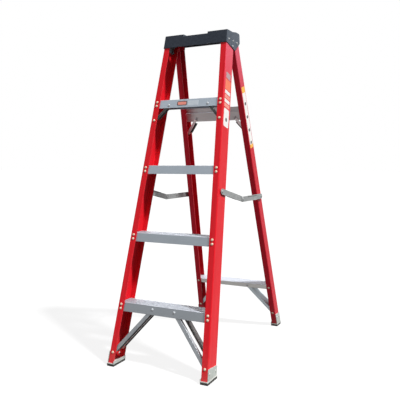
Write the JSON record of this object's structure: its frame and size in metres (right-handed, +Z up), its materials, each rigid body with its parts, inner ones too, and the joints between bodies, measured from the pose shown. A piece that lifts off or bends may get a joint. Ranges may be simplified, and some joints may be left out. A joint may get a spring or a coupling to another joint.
{
  "type": "step ladder",
  "caption": "Free-standing folding step ladder with red channel rails, grooved aluminium steps, braced rear frame, folding side spreaders and a moulded tool tray cap.",
  "frame": {"origin": "floor level under the middle of the open ladder's footprint", "axes": "+Z up; +Y from the stepped front section towards the rear section; +X to the right of someone facing the steps"},
  "size_m": [0.4806, 0.923, 1.4597],
  "materials": {
    "fibreglass_rail": "satin red glass-fibre composite with faint lengthwise fibre streaks",
    "mill_aluminium": "mill-finish extrusion with lengthwise drawing lines",
    "rivet_aluminium": "bright satin rivet",
    "cap_plastic": "fine-grained moulded dark slate plastic",
    "zinc_steel": "dull zinc-plated steel",
    "shoe_aluminium": "satin pressed sheet",
    "foot_rubber": "matt black rubber"
  },
  "bodies": {
    "front_section": {"front_rail_right": "fibreglass_rail", "front_rail_left": "fibreglass_rail", "bottom_step": "mill_aluminium", "second_step": "mill_aluminium", "third_step": "mill_aluminium", "top_step": "mill_aluminium", "bottom_brace_front_right": "mill_aluminium", "bottom_brace_front_left": "mill_aluminium", "bottom_brace_rear_right": "mill_aluminium", "bottom_brace_rear_left": "mill_aluminium", "top_knee_right": "mill_aluminium", "top_knee_left": "mill_aluminium", "step_front_rivets": "rivet_aluminium", "step_rear_rivets": "rivet_aluminium", "bottom_brace_rivets": "rivet_aluminium", "bottom_brace_washers": "rivet_aluminium", "top_knee_rivets": "rivet_aluminium", "top_knee_washers": "rivet_aluminium", "front_shoe_rivets": "rivet_aluminium", "cap": "cap_plastic", "cap_bolts": "zinc_steel", "cap_nuts": "zinc_steel", "pivot_bolts": "zinc_steel", "pivot_nuts": "zinc_steel", "pivot_spacers": "zinc_steel", "cap_backing_plate_right": "zinc_steel", "cap_backing_plate_left": "zinc_steel", "front_spreader_pins": "zinc_steel", "front_spreader_spacers": "zinc_steel", "front_shoe_right": "shoe_aluminium", "front_shoe_left": "shoe_aluminium", "front_pad_right": "foot_rubber", "front_pad_left": "foot_rubber"},
    "rear_section": {"rear_rail_right": "fibreglass_rail", "rear_rail_left": "fibreglass_rail", "rear_upper_bar": "mill_aluminium", "rear_lower_bar": "mill_aluminium", "rear_bar_rivets": "rivet_aluminium", "rear_knee_right": "mill_aluminium", "rear_knee_left": "mill_aluminium", "rear_diagonal_right": "mill_aluminium", "rear_diagonal_left": "mill_aluminium", "rear_brace_rivets": "rivet_aluminium", "rear_brace_washers": "rivet_aluminium", "rear_shoe_right": "shoe_aluminium", "rear_shoe_left": "shoe_aluminium", "rear_pad_right": "foot_rubber", "rear_pad_left": "foot_rubber", "rear_shoe_rivets": "rivet_aluminium", "rear_spreader_pins": "zinc_steel", "rear_spreader_spacers": "zinc_steel"},
    "front_arm_right": {"spreader_front_arm_right": "zinc_steel", "spreader_inner_stud_right": "zinc_steel"},
    "front_arm_left": {"spreader_front_arm_left": "zinc_steel", "spreader_inner_stud_left": "zinc_steel"},
    "rear_arm_right": {"spreader_rear_arm_right": "zinc_steel", "spreader_outer_stud_right": "zinc_steel"},
    "rear_arm_left": {"spreader_rear_arm_left": "zinc_steel", "spreader_outer_stud_left": "zinc_steel"}
  },
  "joints": [
    {"name": "rear_fold", "type": "hinge", "parent": "front_section", "child": "rear_section", "pos_m": [0, 0.01248, 1.41124], "axis": [-1, 0, 0], "range_deg": [0, 30]},
    {"name": "front_arm_right_fold", "type": "hinge", "parent": "front_section", "child": "front_arm_right", "pos_m": [0.2, -0.23855, 0.74624], "axis": [1, 0, 0], "range_deg": [0, 61.46]},
    {"name": "rear_arm_right_fold", "type": "hinge", "parent": "rear_section", "child": "rear_arm_right", "pos_m": [0.2, 0.22422, 0.70325], "axis": [-1, 0, 0], "range_deg": [0, 76.56]},
    {"name": "front_arm_left_fold", "type": "hinge", "parent": "front_section", "child": "front_arm_left", "pos_m": [-0.2, -0.23855, 0.74624], "axis": [1, 0, 0], "range_deg": [0, 61.46]},
    {"name": "rear_arm_left_fold", "type": "hinge", "parent": "rear_section", "child": "rear_arm_left", "pos_m": [-0.2, 0.22422, 0.70325], "axis": [-1, 0, 0], "range_deg": [0, 76.56]}
  ],
  "couplings": [
    {"joint": "front_arm_right_fold", "follows": "rear_fold", "ratio": 2.0482},
    {"joint": "rear_arm_right_fold", "follows": "rear_fold", "ratio": 2.5517},
    {"joint": "front_arm_left_fold", "follows": "rear_fold", "ratio": 2.0482},
    {"joint": "rear_arm_left_fold", "follows": "rear_fold", "ratio": 2.5517}
  ]
}
